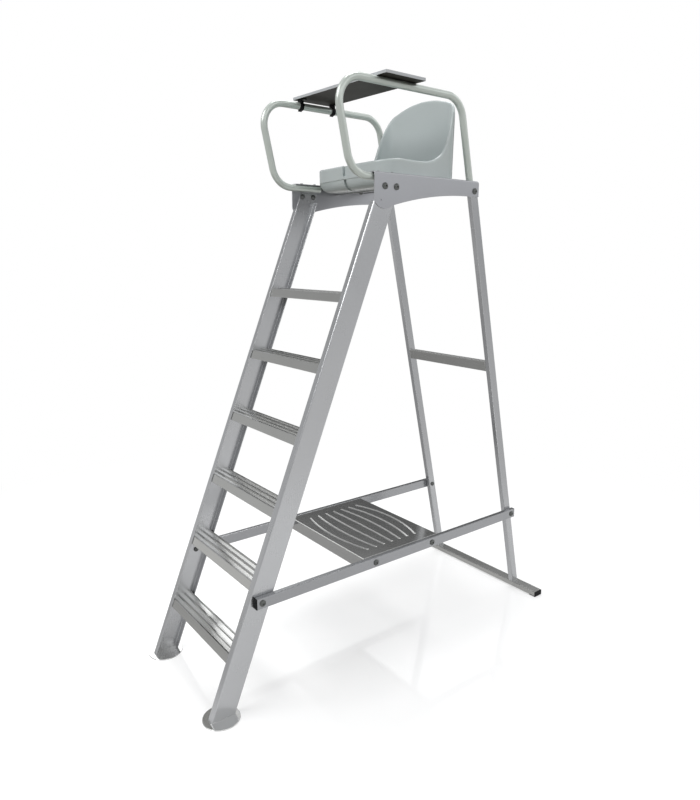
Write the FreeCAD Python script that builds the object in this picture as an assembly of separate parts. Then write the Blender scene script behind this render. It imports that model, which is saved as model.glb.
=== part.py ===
import FreeCAD, Part
from FreeCAD import Vector
import math
import os

# Umpire chair, millimetres. X is across (the sitter's left is +X), Y runs from the
# ladder to the rear legs, Z is up. Lengths along Y are first given from the front
# corner of the stiles at floor level and moved to the middle of the chair on export.

# Ladder
chair_width = 534.0
stile_lean_deg = 21.9
stile_depth = 95.0
stile_flange = 26.0
stile_wall = 2.5
stile_corner = 5.0
disc_radius = 67.0
disc_thickness = 4.0
tread_count = 6
tread_pitch = 248.0
first_tread_top = 225.0
tread_depth = 84.0
tread_height = 32.0
tread_wall = 2.5
tread_rib_width = 6.0
tread_rib_height = 4.0
tread_gap = 0.6
front_flange_end = 1788.0
rear_flange_end = 1818.0
stile_notch = 13.0

# Rear frame
leg_lean_deg = 12.57
leg_width = 25.0
leg_depth = 38.0
leg_wall = 2.0
leg_front_at_floor = 1627.4
bar_half_length = 400.0
bar_front = 1620.0
bar_depth = 50.0
bar_height = 22.0
bar_wall = 2.0
pad_thickness = 3.0
pad_length = 30.0
cap_plate = 4.0
cap_spigot = 14.0
cap_clearance = 0.15
crossbar_top = 1145.0
crossbar_height = 46.0
crossbar_depth = 20.0
crossbar_setback = 1.0

# Side rails and bag shelf
rail_width = 20.0
rail_height = 42.0
rail_middle = 404.3
rail_front_reach = 21.5
rail_rear_reach = 20.3
rail_wall = 2.0
rail_cap_plate = 3.0
rail_bolt_setback = 46.0
shelf_front = 677.0
shelf_rear = 1084.0
shelf_sheet = 2.0
shelf_below_rail_top = 1.0
shelf_front_drop = 51.0
shelf_side_drop = 40.0
shelf_rear_drop = 24.0
shelf_side_gap = 0.0
shelf_bolts = (725.4, 1035.5)
bead_count = 7
bead_end_first = 748.0
bead_end_last = 1008.0
bead_mid_first = 717.0
bead_mid_last = 1050.0
bead_half_span = 208.0
bead_width = 11.0
bead_height = 2.5

# Side plates
plate_sheet = 3.0
plate_front = 716.0
plate_rear = 1258.0
plate_top = 1888.0
plate_flange = 33.0
plate_lobe_low = 1762.0
plate_rear_low = 1828.0
plate_bend = 5.0
plate_lobe_start = (12.0, 14.0)
plate_lobe_bottom = 41.0
plate_lobe_end = (84.0, 11.5)
plate_belly_mid = (269.0, 50.0)
plate_belly_end = (58.0, 1.0)
plate_corner = 12.0
flange_corner = 9.0
stile_bolts = (765.0, 819.0)
plate_bolt_height = 1840.0
leg_bolt_height = 1849.0
pilot_hole = (747.0, 1791.0)
pilot_radius = 3.0

# Arm hoops
tube_radius = 13.5
tube_wall = 2.0
hoop_side = 248.0
hoop_top = 2190.0
hoop_bend_share = 0.2763
hoop_front_low = 627.5
hoop_low_end = 842.0
hoop_bolts = (750.0, 815.0)
insert_below = 15.0
insert_above = 25.0
insert_thread = 16.0
stile_top_gap = 3.0

# Seat shell
seat_half_width = 242.0
seat_rear_half_width = 218.0
seat_waist = (975.0, 300.0)
seat_flank = (1058.0, 260.0)
seat_front = 785.0
seat_front_bow = 19.0
seat_rear = 1195.0
seat_rear_bow = 3.0
bow_radius = 800.0
front_corner = 85.0
rear_corner = 62.0
seat_wall = 14.0
back_flare = 6.0
seat_rim = 1944.0
front_rim = ((-60.0, -16.0), (0.0, -5.0), (45.0, 0.5), (83.0, 2.6), (122.0, 0.8), (165.0, -0.4))
back_rim = ((0.0, 278.5), (75.0, 271.5), (125.0, 260.0), (158.0, 250.0), (175.0, 242.5), (187.0, 232.0),
            (200.0, 215.0), (215.0, 186.0), (230.0, 153.0), (244.0, 116.0), (255.0, 87.0), (267.0, 60.0),
            (282.0, 39.0), (300.0, 26.5), (325.0, 15.5), (350.0, 8.5), (380.0, 3.5), (405.0, 0.9),
            (426.0, -0.3), (450.0, 4.0))
belly_side = 8.0
belly_front = 1.5
belly_steps = ((14.0, 2.5), (28.0, 9.0), (38.0, 18.0), (44.0, 34.0))
pan_low = 1847.5
pan_deep = 830.0
pan_rise = 0.107
groove_half_width = 18.0
groove_foot_half_width = 11.0
groove_depth = 9.0
groove_drop = 45.0
slot_half_width = 8.0
slot_length = 66.0
strap_width = 40.0
strap_sheet = 5.0
strap_places = (135.0, 285.0)
seat_screw_side = 120.0

# Writing board and clips
board_front = 736.0
board_rear = 922.0
board_right = -282.0
board_left = 303.0
board_thickness = 10.0
board_corner = 3.0
board_rest_gap = 0.4
clip_running_gap = 0.05
clip_wall = 3.2
clip_width = 16.0
clip_places = (751.0, 909.0)
clip_lift = 12.0
clip_foot = 4.0
clip_foot_near = 34.0
clip_foot_far = -9.0
clip_screws = (20.0, 29.0)

# Fasteners
bolt_radius = 5.0
bolt_clearance = 0.25
head_radius = 12.0
head_height = 7.5
nut_radius = 10.5
nut_height = 9.0
small_bolt_radius = 4.0
small_head_radius = 7.0
small_head_height = 4.5
small_nut_radius = 7.5
small_nut_height = 9.0
nut_bore = 6.5

# Values derived from the sizes above
half_width = chair_width / 2
stile_lean = math.tan(math.radians(stile_lean_deg))
leg_lean = math.tan(math.radians(leg_lean_deg))
flange_cut = stile_wall / math.cos(math.radians(stile_lean_deg))
leg_cut = leg_depth / math.cos(math.radians(leg_lean_deg))
leg_wall_cut = leg_wall / math.cos(math.radians(leg_lean_deg))
bar_top = pad_thickness + bar_height
rail_top = rail_middle + rail_height / 2
flange_low = plate_top - plate_sheet
hoop_low = flange_low - tube_radius
hoop_bend = hoop_bend_share * (hoop_top - hoop_low)
stile_top = hoop_low - tube_radius - stile_top_gap
flange_inner = half_width + plate_sheet - plate_flange
rail_front_bolt = stile_lean * rail_middle + rail_bolt_setback
rail_front = rail_front_bolt - rail_front_reach
rail_rear = (leg_front_at_floor - leg_lean * rail_middle + leg_cut / 2) + rail_rear_reach
middle_y = ((stile_depth / 2 - disc_radius) + bar_front + bar_depth) / 2
hole_radius = bolt_radius + bolt_clearance
small_hole = small_bolt_radius + bolt_clearance
board_low = tube_radius + clip_lift
pan_angle = math.degrees(math.atan(pan_rise))
pan_wall = seat_wall * math.cos(math.radians(pan_angle))

os.makedirs("parts", exist_ok=True)


def leg_front(z):
    return leg_front_at_floor - leg_lean * z


def leg_mid(z):
    return leg_front(z) + leg_cut / 2


def flat_xy(z):
    return lambda a, b: Vector(a, b, z)


def flat_yz(x):
    return lambda a, b: Vector(x, a, b)


def flat_xz(y):
    return lambda a, b: Vector(a, y, b)


def outline(corners, to_space):
    """Closed wire through (a, b, radius) corners, each rounded by its radius."""
    pts = [Vector(a, b, 0) for a, b, r in corners]
    ends = []
    count = len(pts)
    for i in range(count):
        here = pts[i]
        back = (pts[i - 1] - here).normalize()
        ahead = (pts[(i + 1) % count] - here).normalize()
        radius = corners[i][2]
        if radius <= 0:
            ends.append((here, None, here))
            continue
        half = back.getAngle(ahead) / 2
        reach = radius / math.tan(half)
        centre = here + (back + ahead).normalize() * (radius / math.sin(half))
        crown = centre + (here - centre).normalize() * radius
        ends.append((here + back * reach, crown, here + ahead * reach))
    edges = []
    for i in range(count):
        first, crown, last = ends[i]
        if crown is not None:
            edges.append(Part.Arc(to_space(first.x, first.y), to_space(crown.x, crown.y),
                                  to_space(last.x, last.y)).toShape())
        start = to_space(last.x, last.y)
        nxt = ends[(i + 1) % count][0]
        end = to_space(nxt.x, nxt.y)
        if start.distanceToPoint(end) > 0.001:
            edges.append(Part.makeLine(start, end))
    return Part.Wire(edges)


def prism(corners, to_space, along):
    return Part.Face(outline(corners, to_space)).extrude(along)


def box(x0, x1, y0, y1, z0, z1):
    return Part.makeBox(x1 - x0, y1 - y0, z1 - z0, Vector(x0, y0, z0))


def across(x0, x1, y, z, radius):
    return Part.makeCylinder(radius, x1 - x0, Vector(x0, y, z), Vector(1, 0, 0))


def upright(x, y, z0, z1, radius):
    return Part.makeCylinder(radius, z1 - z0, Vector(x, y, z0), Vector(0, 0, 1))


def mirrored(shape):
    return shape.mirror(Vector(0, 0, 0), Vector(1, 0, 0))


def save(name, shapes):
    if not isinstance(shapes, list):
        shapes = [shapes]
    moved = []
    for shape in shapes:
        for solid in shape.Solids:
            copy = solid.copy()
            copy.translate(Vector(0, -middle_y, 0))
            moved.append(copy)
    whole = moved[0] if len(moved) == 1 else Part.makeCompound(moved)
    whole.exportStep("parts/" + name + ".step")
    low = whole.BoundBox
    print(name, len(moved), round(low.XLength, 1), round(low.YLength, 1), round(low.ZLength, 1))


def save_pair(name, shape):
    save(name + "_left", shape)
    save(name + "_right", mirrored(shape))


def rect(a0, a1, b0, b1, r):
    return [(a0, b0, r), (a1, b0, r), (a1, b1, r), (a0, b1, r)]


# Stiles: a channel cut level at the foot and under the arm hoop, flanges ended lower
def make_stile():
    height = stile_top - disc_thickness
    along = Vector(0, stile_lean * height, height)
    y0 = stile_lean * disc_thickness
    inner = stile_corner - stile_wall
    lip = half_width - stile_flange
    web = half_width - stile_wall
    y1 = y0 + stile_depth
    section = [(lip, y0, 0), (half_width, y0, stile_corner), (half_width, y1, stile_corner),
               (lip, y1, 0), (lip, y1 - flange_cut, 0), (web, y1 - flange_cut, inner),
               (web, y0 + flange_cut, inner), (lip, y0 + flange_cut, 0)]
    stile = prism(section, flat_xy(disc_thickness), along)
    rise = stile_top - front_flange_end + 1
    y = stile_lean * front_flange_end
    notch = prism(rect(lip - 1, half_width + 1, y - 1, y + stile_notch, 0),
                  flat_xy(front_flange_end), Vector(0, stile_lean * rise, rise))
    rise = stile_top - rear_flange_end + 1
    y = stile_lean * rear_flange_end + stile_depth
    tail = prism(rect(lip - 1, web, y - flange_cut - inner, y + 1, 0),
                 flat_xy(rear_flange_end), Vector(0, stile_lean * rise, rise))
    stile = stile.cut(notch).cut(tail)
    for y in stile_bolts:
        stile = stile.cut(across(web - 1, half_width + 1, y, plate_bolt_height, hole_radius))
    return stile.cut(across(web - 1, half_width + 1, rail_front_bolt, rail_middle, hole_radius))


# Treads: ribbed top, leaning front apron with a return lip, shorter rear apron
def make_tread(index):
    top = first_tread_top + tread_pitch * (tread_count - index)
    y0 = stile_lean * top + flange_cut + tread_gap
    low = -tread_height
    floor = -tread_rib_height
    under = floor - tread_wall
    pitch = (tread_depth - tread_rib_width) / 3
    lip = 9.0
    rear_low = low + 8
    wall = tread_wall / math.cos(math.radians(stile_lean_deg))

    def lean(y, z):
        return y + stile_lean * z

    path = [(lean(0, low), low, 2), (0, 0, 2.5)]
    for i in range(3):
        rib = i * pitch + tread_rib_width
        path += [(rib, 0, 1), (rib + 0.5, floor, 0.8), (rib + 0.5 + pitch - tread_rib_width - 1, floor, 0.8),
                 (i * pitch + pitch, 0, 1)]
    back = tread_depth
    path += [(back, 0, 2), (lean(back, rear_low), rear_low, 0.8),
             (lean(back, rear_low) - wall, rear_low, 0.8), (lean(back, under) - wall, under, 1),
             (lean(0, under) + wall, under, 1),
             (lean(0, low + tread_wall) + wall, low + tread_wall, 0.8),
             (lean(0, low) + wall + lip, low + tread_wall, 0.8), (lean(0, low) + wall + lip, low, 0.8)]
    reach = half_width - stile_wall
    section = [(y0 + a, top + b, r) for a, b, r in path]
    tread = prism(section, flat_yz(-reach), Vector(2 * reach, 0, 0))
    return tread.cut(stile).cut(mirrored(stile))


def make_disc():
    x = half_width - stile_flange / 2
    disc = upright(x, stile_depth / 2, 0, disc_thickness, disc_radius)
    return disc.makeChamfer(0.8, [e for e in disc.Edges if e.BoundBox.ZLength < 0.01])


# Rear legs: leaning rectangular tube standing on the foot bar
def make_leg():
    top = flange_low - small_head_height - 1.5
    rise = top - bar_top
    along = Vector(0, -leg_lean * rise, rise)
    y0 = leg_front(bar_top)
    outer = prism(rect(half_width - leg_width, half_width, y0, y0 + leg_cut, 4),
                  flat_xy(bar_top), along)
    inner = prism(rect(half_width - leg_width + leg_wall, half_width - leg_wall,
                       y0 + leg_wall_cut, y0 + leg_cut - leg_wall_cut, 2),
                  flat_xy(bar_top), along)
    leg = outer.cut(inner)
    for z in (leg_bolt_height, rail_middle):
        leg = leg.cut(across(half_width - leg_width - 1, half_width + 1, leg_mid(z), z, hole_radius))
    return leg


def make_foot_bar():
    along = Vector(2 * bar_half_length, 0, 0)
    y1 = bar_front + bar_depth
    outer = prism(rect(bar_front, y1, pad_thickness, bar_top, 3), flat_yz(-bar_half_length), along)
    inner = prism(rect(bar_front + bar_wall, y1 - bar_wall, pad_thickness + bar_wall,
                       bar_top - bar_wall, 1.5), flat_yz(-bar_half_length), along)
    return outer.cut(inner)


# Foot caps: end plate, spigot inside the bar and a foot pad folded under it
def make_foot_cap():
    y1 = bar_front + bar_depth
    x = bar_half_length
    plate = prism(rect(bar_front, y1, 0, bar_top, 3), flat_yz(x), Vector(cap_plate, 0, 0))
    plate = plate.makeChamfer(1.2, [e for e in plate.Edges if e.BoundBox.XLength < 0.01
                                    and e.BoundBox.XMin > x + cap_plate - 0.01])
    inset = bar_wall + cap_clearance
    spigot = prism(rect(bar_front + inset, y1 - inset, pad_thickness + inset, bar_top - inset, 1.2),
                   flat_yz(x - cap_spigot), Vector(cap_spigot, 0, 0))
    hollow = prism(rect(bar_front + inset + 2.5, y1 - inset - 2.5, pad_thickness + inset + 2.5,
                        bar_top - inset - 2.5, 0.5), flat_yz(x - cap_spigot),
                   Vector(cap_spigot - 0.5, 0, 0))
    pad = box(x - pad_length, x, bar_front + 2, y1 - 2, 0, pad_thickness)
    return plate.fuse(spigot.cut(hollow)).fuse(pad).removeSplitter()


def make_crossbar():
    reach = half_width - leg_width
    angle = math.radians(leg_lean_deg)
    down = Vector(0, math.sin(angle), -math.cos(angle))
    back = Vector(0, math.cos(angle), math.sin(angle))
    start = Vector(0, leg_front(crossbar_top) + crossbar_setback, crossbar_top)

    def to_space(a, b):
        return Vector(-reach, 0, 0) + start + back * a + down * b

    along = Vector(2 * reach, 0, 0)
    outer = prism(rect(0, crossbar_depth, 0, crossbar_height, 3), to_space, along)
    inner = prism(rect(leg_wall, crossbar_depth - leg_wall, leg_wall, crossbar_height - leg_wall, 1),
                  to_space, along)
    return outer.cut(inner)


# Side rails: rectangular tube outside the stiles and legs
def make_rail():
    low = rail_middle - rail_height / 2
    along = Vector(0, rail_rear - rail_front, 0)
    x1 = half_width + rail_width
    outer = prism(rect(half_width, x1, low, rail_top, 3), flat_xz(rail_front), along)
    inner = prism(rect(half_width + rail_wall, x1 - rail_wall, low + rail_wall,
                       rail_top - rail_wall, 1.2), flat_xz(rail_front), along)
    rail = outer.cut(inner)
    for y in (rail_front_bolt, leg_mid(rail_middle)) + shelf_bolts:
        rail = rail.cut(across(half_width - 1, x1 + 1, y, rail_middle, hole_radius))
    return rail


def make_rail_cap(y, way):
    low = rail_middle - rail_height / 2
    x1 = half_width + rail_width
    plate = prism(rect(half_width, x1, low, rail_top, 3), flat_xz(y), Vector(0, way * rail_cap_plate, 0))
    face = y + way * rail_cap_plate
    plate = plate.makeChamfer(1.2, [e for e in plate.Edges if e.BoundBox.YLength < 0.01
                                    and abs(e.BoundBox.YMin - face) < 0.01])
    inset = rail_wall + cap_clearance
    spigot = prism(rect(half_width + inset, x1 - inset, low + inset, rail_top - inset, 1),
                   flat_xz(y), Vector(0, -way * 10, 0))
    hollow = prism(rect(half_width + inset + 2.5, x1 - inset - 2.5, low + inset + 2.5,
                        rail_top - inset - 2.5, 0.5), flat_xz(y - way * 0.5), Vector(0, -way * 10, 0))
    return plate.fuse(spigot.cut(hollow)).removeSplitter()


# Bag shelf: folded tray with raised curved beads across it
def make_shelf():
    top = rail_top - shelf_below_rail_top
    side = half_width - shelf_side_gap
    outer = box(-side, side, shelf_front, shelf_rear, top - shelf_front_drop, top)
    edges = [e for e in outer.Edges if e.BoundBox.ZMin > top - 0.01]
    outer = outer.makeFillet(3.0, edges)
    s = shelf_sheet
    inner = box(-side + s, side - s, shelf_front + s, shelf_rear - s, top - shelf_front_drop - 5, top - s)
    edges = [e for e in inner.Edges if e.BoundBox.ZMin > top - s - 0.01]
    shelf = outer.cut(inner.makeFillet(1.0, edges))
    low = top - shelf_front_drop - 1
    shelf = shelf.cut(box(-side - 1, side + 1, shelf_front + 8, shelf_rear + 1, low, top - shelf_side_drop))
    shelf = shelf.cut(box(-side + 12, side - 12, shelf_rear - 10, shelf_rear + 1, low,
                          top - shelf_rear_drop))
    for i in range(bead_count):
        share = i / (bead_count - 1)
        end = bead_end_first + share * (bead_end_last - bead_end_first)
        mid = bead_mid_first + share * (bead_mid_last - bead_mid_first)
        path = Part.Wire(Part.Arc(Vector(-bead_half_span, end, top), Vector(0, mid, top),
                                  Vector(bead_half_span, end, top)).toShape())
        first = path.Edges[0]
        ahead = first.tangentAt(first.FirstParameter)
        flat = Vector(-ahead.y, ahead.x, 0)
        start = path.Vertexes[0].Point
        if start.distanceToPoint(Vector(-bead_half_span, end, top)) > 1:
            start = path.Vertexes[-1].Point
        up = Vector(0, 0, 1)
        left = start - flat * (bead_width / 2) - up * 0.5
        right = start + flat * (bead_width / 2) - up * 0.5
        crown = start + up * bead_height
        ring = Part.Wire([Part.Arc(left, crown, right).toShape(), Part.makeLine(right, left)])
        bead = path.makePipeShell([ring], True, False)
        shelf = shelf.fuse(bead)
    for x in (-side, side):
        for y in shelf_bolts:
            shelf = shelf.cut(across(x - 4, x + 4, y, rail_middle, hole_radius))
    return shelf.removeSplitter()


# Side plates: bent sheet with an inward top flange and a curved lower edge
def make_side_plate():
    x1 = half_width + plate_sheet
    rear = plate_rear
    top = plate_top - plate_bend

    def at(y, z):
        return Vector(half_width, y, z)

    front_low = at(plate_front, plate_lobe_low + 2.3 * plate_lobe_start[1])
    lobe_start = at(plate_front + plate_lobe_start[0], plate_lobe_low + plate_lobe_start[1])
    lobe_bottom = at(plate_front + plate_lobe_bottom, plate_lobe_low)
    lobe_end = at(plate_front + plate_lobe_end[0], plate_lobe_low + plate_lobe_end[1])
    belly_mid = at(plate_front + plate_belly_mid[0], plate_lobe_low + plate_belly_mid[1])
    belly_end = at(rear - plate_belly_end[0], plate_rear_low - plate_belly_end[1])
    turn = at(plate_front + plate_lobe_start[0] * 0.29, plate_lobe_low + plate_lobe_start[1] * 1.57)
    corner_low = at(rear, plate_top - plate_corner)
    corner_high = at(rear - plate_corner, plate_top)
    corner_mid = at(rear - plate_corner * 0.293, plate_top - plate_corner * 0.293)
    edges = [Part.Arc(lobe_start, lobe_bottom, lobe_end).toShape(),
             Part.Arc(lobe_end, belly_mid, belly_end).toShape(),
             Part.makeLine(belly_end, at(rear, plate_rear_low)),
             Part.makeLine(at(rear, plate_rear_low), corner_low),
             Part.Arc(corner_low, corner_mid, corner_high).toShape(),
             Part.makeLine(corner_high, at(plate_front, plate_top)),
             Part.makeLine(at(plate_front, plate_top), front_low),
             Part.Arc(front_low, turn, lobe_start).toShape()]
    face = Part.Face(Part.Wire(Part.__sortEdges__(edges)))
    side = face.extrude(Vector(plate_sheet, 0, 0))
    side = side.cut(box(half_width - 1, x1 + 1, plate_front - 1, rear + 1, top, plate_top + 1))
    inner_bend = plate_bend - plate_sheet
    section = [(half_width, top, 0), (x1, top, 0), (x1, plate_top, plate_bend), (flange_inner, plate_top, 0),
               (flange_inner, flange_low, 0), (half_width, flange_low, inner_bend)]
    flange = prism(section, flat_xz(plate_front), Vector(0, rear - plate_front, 0))
    trim = Part.Face(outline([(plate_front - 1, plate_lobe_low, 0), (rear, plate_lobe_low, 0),
                              (rear, plate_top, plate_corner), (plate_front - 1, plate_top, 0)],
                             flat_yz(flange_inner - 1)))
    flange = flange.common(trim.extrude(Vector(plate_flange + 4, 0, 0)))
    r = flange_corner
    corner = box(flange_inner - 1, flange_inner + r, plate_front - 1, plate_front + r, flange_low - 1,
                 plate_top + 1)
    corner = corner.cut(upright(flange_inner + r, plate_front + r, flange_low - 2, plate_top + 2, r))
    plate = side.fuse(flange.cut(corner)).removeSplitter()
    for y in stile_bolts:
        plate = plate.cut(across(half_width - 1, x1 + 1, y, plate_bolt_height, hole_radius))
    plate = plate.cut(across(half_width - 1, x1 + 1, leg_mid(leg_bolt_height), leg_bolt_height, hole_radius))
    plate = plate.cut(across(half_width - 1, x1 + 1, pilot_hole[0], pilot_hole[1], pilot_radius))
    for y in hoop_bolts + (hoop_rear(plate_top),):
        plate = plate.cut(upright(hoop_side, y, flange_low - 1, plate_top + 1, small_hole))
    return plate


# Arm hoops: one bent tube, front and rear runs parallel to the rear legs
def hoop_front(z):
    return hoop_front_low - leg_lean * (z - hoop_low)


def hoop_rear(z):
    return leg_mid(z)


def hoop_path():
    low_end = Vector(hoop_side, hoop_low_end, hoop_low)
    corners = [low_end, Vector(hoop_side, hoop_front(hoop_low), hoop_low),
               Vector(hoop_side, hoop_front(hoop_top), hoop_top),
               Vector(hoop_side, hoop_rear(hoop_top), hoop_top)]
    z = plate_top - 2 * tube_radius
    corners.append(Vector(hoop_side, hoop_rear(z), z))
    edges = []
    start = corners[0]
    for i in (1, 2, 3):
        here = corners[i]
        back = (corners[i - 1] - here).normalize()
        ahead = (corners[i + 1] - here).normalize()
        half = back.getAngle(ahead) / 2
        reach = hoop_bend / math.tan(half)
        centre = here + (back + ahead).normalize() * (hoop_bend / math.sin(half))
        crown = centre + (here - centre).normalize() * hoop_bend
        edges.append(Part.makeLine(start, here + back * reach))
        edges.append(Part.Arc(here + back * reach, crown, here + ahead * reach).toShape())
        start = here + ahead * reach
    edges.append(Part.makeLine(start, corners[-1]))
    return Part.Wire(edges)


def pipe(path, radius):
    start = path.Vertexes[0].Point
    ring = Part.Wire(Part.Circle(start, Vector(0, 1, 0), radius).toShape())
    return path.makePipeShell([ring], True, False)


def make_hoop():
    path = hoop_path()
    tube = pipe(path, tube_radius).cut(pipe(path, tube_radius - tube_wall))
    wide = 4 * tube_radius
    seat_y = hoop_rear(plate_top)
    tube = tube.cut(box(hoop_side - wide, hoop_side + wide, seat_y - wide, seat_y + wide,
                        plate_top - wide, plate_top))
    for y in hoop_bolts:
        tube = tube.cut(upright(hoop_side, y, hoop_low, flange_low + 1, small_hole))
    return tube


def make_low_plug():
    y = hoop_low_end
    head = Part.makeCylinder(tube_radius, 3, Vector(hoop_side, y, hoop_low), Vector(0, 1, 0))
    head = head.makeChamfer(1.0, [e for e in head.Edges if e.BoundBox.YMin > y + 2.9])
    spigot = Part.makeCylinder(tube_radius - tube_wall - cap_clearance, 12,
                               Vector(hoop_side, y - 12, hoop_low), Vector(0, 1, 0))
    bore = Part.makeCylinder(tube_radius - tube_wall - 3, 12, Vector(hoop_side, y - 12.5, hoop_low),
                             Vector(0, 1, 0))
    return head.fuse(spigot.cut(bore)).removeSplitter()


# Threaded inserts in the rear end of each hoop, above the flange
def make_rear_insert():
    z = plate_top
    axis = Vector(0, -math.sin(math.radians(leg_lean_deg)), math.cos(math.radians(leg_lean_deg)))
    base = Vector(hoop_side, hoop_rear(z), z)
    wide = 4 * tube_radius
    body = Part.makeCylinder(tube_radius - tube_wall - 0.05, insert_below + insert_above,
                             base - axis * insert_below, axis)
    body = body.cut(box(hoop_side - wide, hoop_side + wide, base.y - wide, base.y + wide, z - wide, z))
    return body.cut(upright(hoop_side, base.y, z - 1, z + insert_thread, small_bolt_radius + 0.1))


# Seat shell: double-walled bucket with wings; its rim rises round the back to an arched top
def seat_plan(inset, z, side=0.0, fall=0.0, corner=front_corner):
    """Outline of the shell at height z; side narrows the flanks only, fall tilts it to the front."""
    w = seat_half_width - inset - side
    wr = seat_rear_half_width - inset - side
    f = seat_front + inset
    r = seat_rear - inset - side
    waist, waist_turn = seat_waist
    flank, flank_turn = seat_flank

    def to_space(a, b):
        return Vector(a, b, z + fall * (b - pan_deep))

    front = f + seat_front_bow
    rear = r - seat_rear_bow
    near = [(w, front, corner - inset), (w, waist, waist_turn), (wr, flank, flank_turn),
            (wr, rear, rear_corner - inset)]
    far = [(-x, y, turn) for x, y, turn in reversed(near)]
    return outline([(0, f, bow_radius)] + near + [(0, r, bow_radius)] + far, to_space)


def seat_block(inset, lift, ledge, high):
    """Tub above the ledge and a rounded belly below it, whose underside falls to the front."""
    tub = Part.makeLoft([seat_plan(inset, ledge), seat_plan(inset - back_flare, high)], True, True)
    corner = front_corner - 2 * belly_side
    rings = [seat_plan(inset + belly_front, ledge, belly_side, 0, corner)]
    depth = ledge - lift - pan_low
    last = belly_steps[-1][0]
    for down, draw in belly_steps:
        share = down / last
        z = ledge - depth * share
        rings.append(seat_plan(inset + belly_front + draw, z, belly_side, pan_rise * share,
                               corner + 1.5 * draw))
    return tub.fuse(Part.makeLoft(rings, True, False))


def front_rim_cut():
    """Everything above the flanks' rim, up to where the back starts, as seen from the side."""
    wide = 1.5 * seat_half_width
    sky = seat_rim + 2 * back_rim[0][1]
    points = [Vector(-wide, seat_front + a, seat_rim + b) for a, b in front_rim]
    line = Part.BSplineCurve()
    line.interpolate(points)
    start = points[0]
    end = points[-1]
    over_end = Vector(-wide, end.y, sky)
    over_start = Vector(-wide, start.y, sky)
    edges = [line.toShape(), Part.makeLine(end, over_end), Part.makeLine(over_end, over_start),
             Part.makeLine(over_start, start)]
    return Part.Face(Part.Wire(edges)).extrude(Vector(2 * wide, 0, 0))


def along_back(way):
    """Point and outward direction at a distance round the back, from its middle to one flank."""
    middle = seat_wall / 2 - back_flare / 2
    turn = rear_corner - middle
    side = seat_rear_half_width - middle
    rear = seat_rear - seat_rear_bow - middle
    flat = side - turn
    quarter = turn * math.pi / 2
    if way < flat:
        return Vector(way, rear, 0), Vector(0, 1, 0)
    if way < flat + quarter:
        angle = (way - flat) / turn
        out = Vector(math.sin(angle), math.cos(angle), 0)
        return Vector(flat, rear - turn, 0) + out * turn, out
    return Vector(side, rear - turn - (way - flat - quarter), 0), Vector(1, 0, 0)


def back_rim_cut():
    """Everything above the rim of the wings and the back, square to the shell all the way round."""
    reach = rear_corner - seat_wall
    sky = seat_rim + 2 * back_rim[0][1]
    half = []
    for way, rise in back_rim:
        place, out = along_back(way)
        low = place + Vector(0, 0, seat_rim + rise)
        high = place + Vector(0, 0, sky)
        half.append([low - out * reach, low + out * reach, high + out * reach, high - out * reach])
    other = [[Vector(-p.x, p.y, p.z) for p in corners] for corners in half[1:]]
    rings = list(reversed(other)) + half
    return Part.makeLoft([Part.makePolygon(corners + [corners[0]]) for corners in rings], True, False)


# The pan's own frame: x across, y along the tilted underside, z out of it
def on_pan(shape):
    shape = shape.copy()
    shape.rotate(Vector(0, 0, 0), Vector(1, 0, 0), pan_angle)
    shape.translate(Vector(0, pan_deep, pan_low))
    return shape


def make_seat():
    ledge = plate_top
    high = seat_rim + back_rim[0][1] + 15
    shell = seat_block(0, 0, ledge, high)
    shell = shell.cut(seat_block(seat_wall, seat_wall, ledge + seat_wall, high + 10))
    shell = shell.cut(front_rim_cut()).cut(back_rim_cut())
    d = groove_half_width
    e = groove_foot_half_width
    low = seat_rim - groove_drop
    groove = prism([(-e, low, 7), (e, low, 7), (d, seat_rim + 20, 0), (-d, seat_rim + 20, 0)],
                   flat_xz(seat_front - 10), Vector(0, 10 + groove_depth, 0))
    shell = shell.cut(groove)
    d = slot_half_width
    front = seat_front - 5
    slot = prism([(-d, front, 0), (d, front, 0), (d, front + slot_length, 6), (-d, front + slot_length, 6)],
                 flat_xy(pan_low - 20), Vector(0, 0, ledge - 3 - pan_low + 20))
    shell = shell.cut(slot)
    for y in strap_places:
        for x in (-seat_screw_side, seat_screw_side):
            shell = shell.cut(on_pan(upright(x, y, -5, 2 * seat_wall, small_hole)))
    return shell.removeSplitter()


def make_strap(y):
    strap = box(-half_width, half_width, y - strap_width / 2, y + strap_width / 2, -strap_sheet, 0)
    for x in (-seat_screw_side, seat_screw_side):
        strap = strap.cut(upright(x, y, -2 * strap_sheet, strap_sheet, small_hole))
    return on_pan(strap)


# Writing board and clips: drawn level about the hoop's axis, then tilted onto the other hoop
rest_drop = board_low - tube_radius - board_rest_gap
board_tilt = math.degrees(math.asin(rest_drop / (2 * hoop_side)))
hinge = Vector(-hoop_side, 0, hoop_top)


def tilted(shape):
    shape = shape.copy()
    shape.translate(hinge)
    shape.rotate(hinge, Vector(0, 1, 0), board_tilt)
    return shape


def make_board():
    x0 = board_right + hoop_side
    x1 = board_left + hoop_side
    board = prism(rect(x0, x1, board_front, board_rear, board_corner), flat_xy(board_low),
                  Vector(0, 0, board_thickness))
    for y in clip_places:
        for x in clip_screws:
            board = board.cut(upright(x, y, board_low - 1, board_low + 7, 1.7))
    return tilted(board)


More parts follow.
